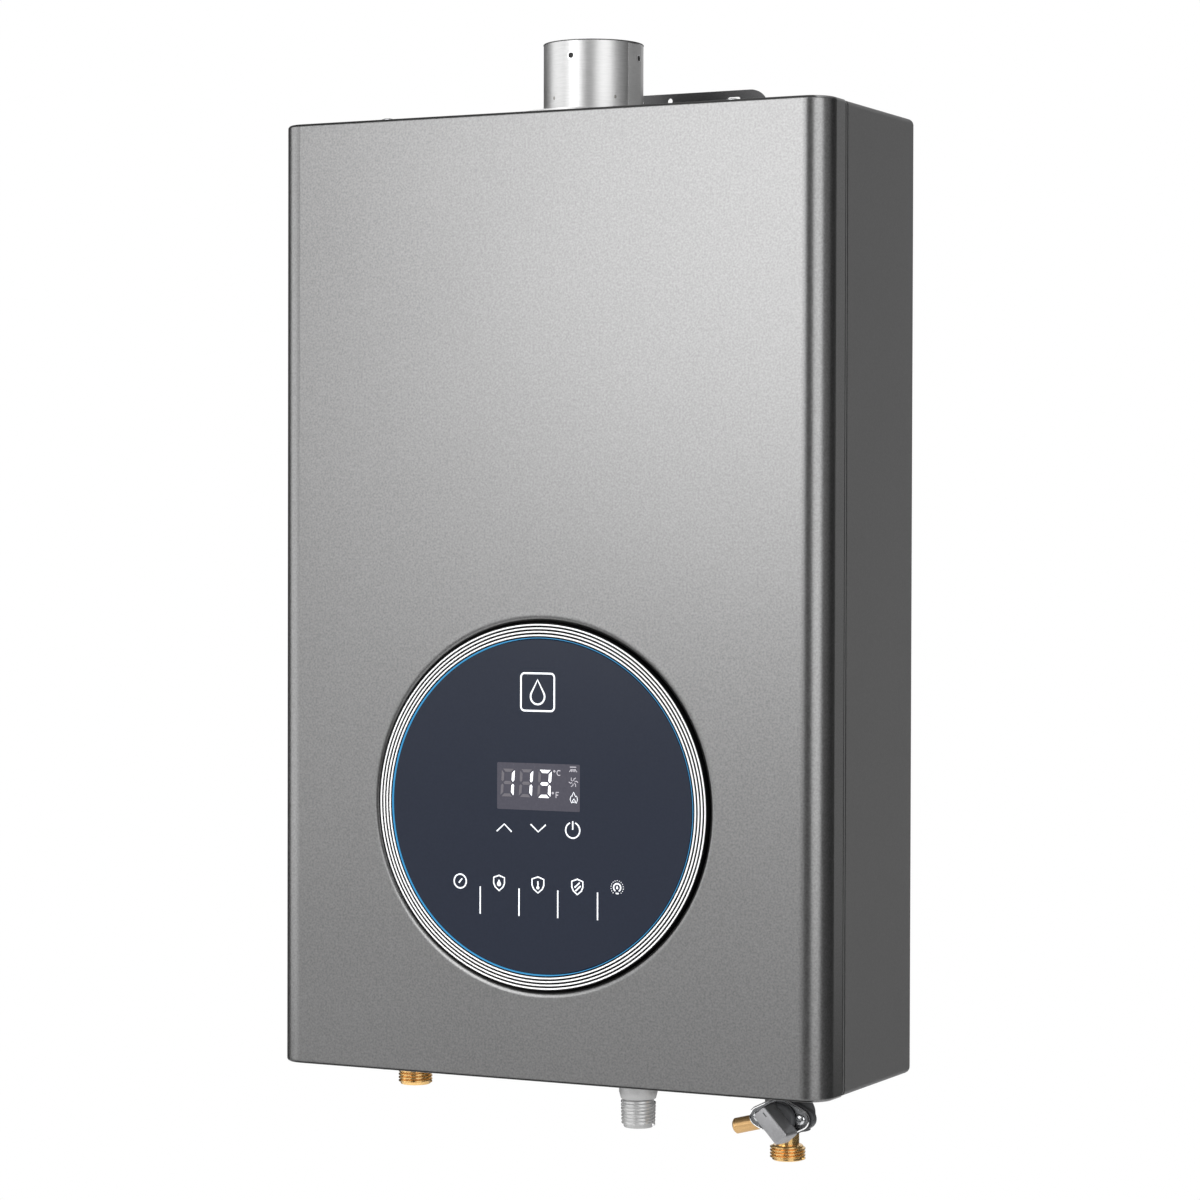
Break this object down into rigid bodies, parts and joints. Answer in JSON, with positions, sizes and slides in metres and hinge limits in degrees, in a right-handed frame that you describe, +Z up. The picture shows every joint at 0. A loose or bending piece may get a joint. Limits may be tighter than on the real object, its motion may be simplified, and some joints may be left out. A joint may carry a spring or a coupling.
{
  "type": "tankless gas water heater",
  "caption": "Wall-hung tankless gas water heater: a flat painted steel case with a round touch display, a flue collar on top and threaded water and gas ports below.",
  "frame": {"origin": "midway between the hanger's two bolt holes, on the wall plane", "axes": "+X to the right as seen from the room, +Y into the wall, +Z up"},
  "size_m": [0.36, 0.1568, 0.663],
  "materials": {
    "cover_paint": "fine metallic silver-grey paint",
    "case_paint": "satin grey paint",
    "bracket_paint": "dark grey paint",
    "zinc_screws": "bright zinc plate",
    "black_moulding": "gloss black moulding",
    "ring_plating": "plated rings",
    "blue_light": "blue light guide",
    "smoked_glass": "smoked glass",
    "display_dark": "dark display",
    "circuit_board": "green board",
    "stainless": "brushed stainless steel",
    "silicone": "red-brown silicone",
    "black_rubber": "black rubber",
    "plated_sheet": "zinc-plated sheet steel",
    "motor_black": "black motor can",
    "fan_aluminium": "pressed aluminium",
    "bare_steel": "bare steel",
    "copper": "copper",
    "cast_aluminium": "die-cast aluminium",
    "brass": "turned brass",
    "dark_moulding": "dark grey moulding",
    "grey_moulding": "light grey moulding",
    "white_moulding": "white moulding",
    "flange_plating": "plated flange",
    "ceramic": "white ceramic"
  },
  "bodies": {
    "casing": {"front_cover": "cover_paint", "back_case": "case_paint", "cover_screws": "zinc_screws", "wall_bracket": "bracket_paint", "lower_bracket": "bracket_paint", "bracket_rivets": "zinc_screws", "panel_bezel": "black_moulding", "trim_rings": "ring_plating", "light_ring": "blue_light", "panel_glass": "smoked_glass", "display_module": "display_dark", "display_board": "circuit_board", "panel_screws": "zinc_screws", "flue_collar": "stainless", "flue_gasket": "silicone", "flue_screws": "zinc_screws", "fan_housing": "plated_sheet", "fan_motor": "motor_black", "exhaust_hood": "plated_sheet", "fin_block": "copper", "fin_tube": "copper", "combustion_chamber": "copper", "chamber_coil": "copper", "burner_frame": "plated_sheet", "frame_brackets": "plated_sheet", "burner_strips": "stainless", "gas_manifold": "cast_aluminium", "gas_nozzles": "brass", "gas_inlet": "bare_steel", "gas_valve_body": "cast_aluminium", "valve_coil": "motor_black", "gas_riser": "cast_aluminium", "inlet_valve_body": "dark_moulding", "cold_inlet_nipple": "brass", "drain_flange": "flange_plating", "flange_screws": "zinc_screws", "stem_seal": "black_rubber", "drain_spigot": "brass", "flow_sensor": "white_moulding", "turbine_pin": "bare_steel", "cold_pipe": "copper", "hot_outlet": "brass", "hot_pipe": "copper", "pipe_nuts": "brass", "control_box": "white_moulding", "control_board": "circuit_board", "control_lid": "white_moulding", "igniter": "motor_black", "electrode_insulators": "ceramic", "electrode_rods": "bare_steel", "thermal_cutout": "motor_black", "pressure_switch": "grey_moulding", "pressure_hose": "silicone", "power_gland": "black_rubber"},
    "fan": {"fan_wheel": "fan_aluminium", "fan_shaft": "bare_steel"},
    "turbine": {"flow_turbine": "grey_moulding"},
    "plunger": {"valve_plunger": "bare_steel"},
    "knob": {"drain_knob": "grey_moulding", "drain_stem": "brass"}
  },
  "joints": [
    {"name": "fan_spin", "type": "hinge", "parent": "casing", "child": "fan", "pos_m": [-0.0261, -0.088, -0.076], "axis": [0, 1, 0], "continuous": true},
    {"name": "turbine_spin", "type": "hinge", "parent": "casing", "child": "turbine", "pos_m": [0.126, -0.08, -0.533], "axis": [0, 0, 1], "continuous": true},
    {"name": "plunger_slide", "type": "slide", "parent": "casing", "child": "plunger", "axis": [-1, 0, 0], "range_m": [0, 0.004], "stiffness_N_per_m": 200, "springref_m": -0.004},
    {"name": "drain_turn", "type": "hinge", "parent": "casing", "child": "knob", "pos_m": [0.1323, -0.105, -0.6005], "axis": [0, 1, 0], "range_deg": [0, 90]}
  ]
}
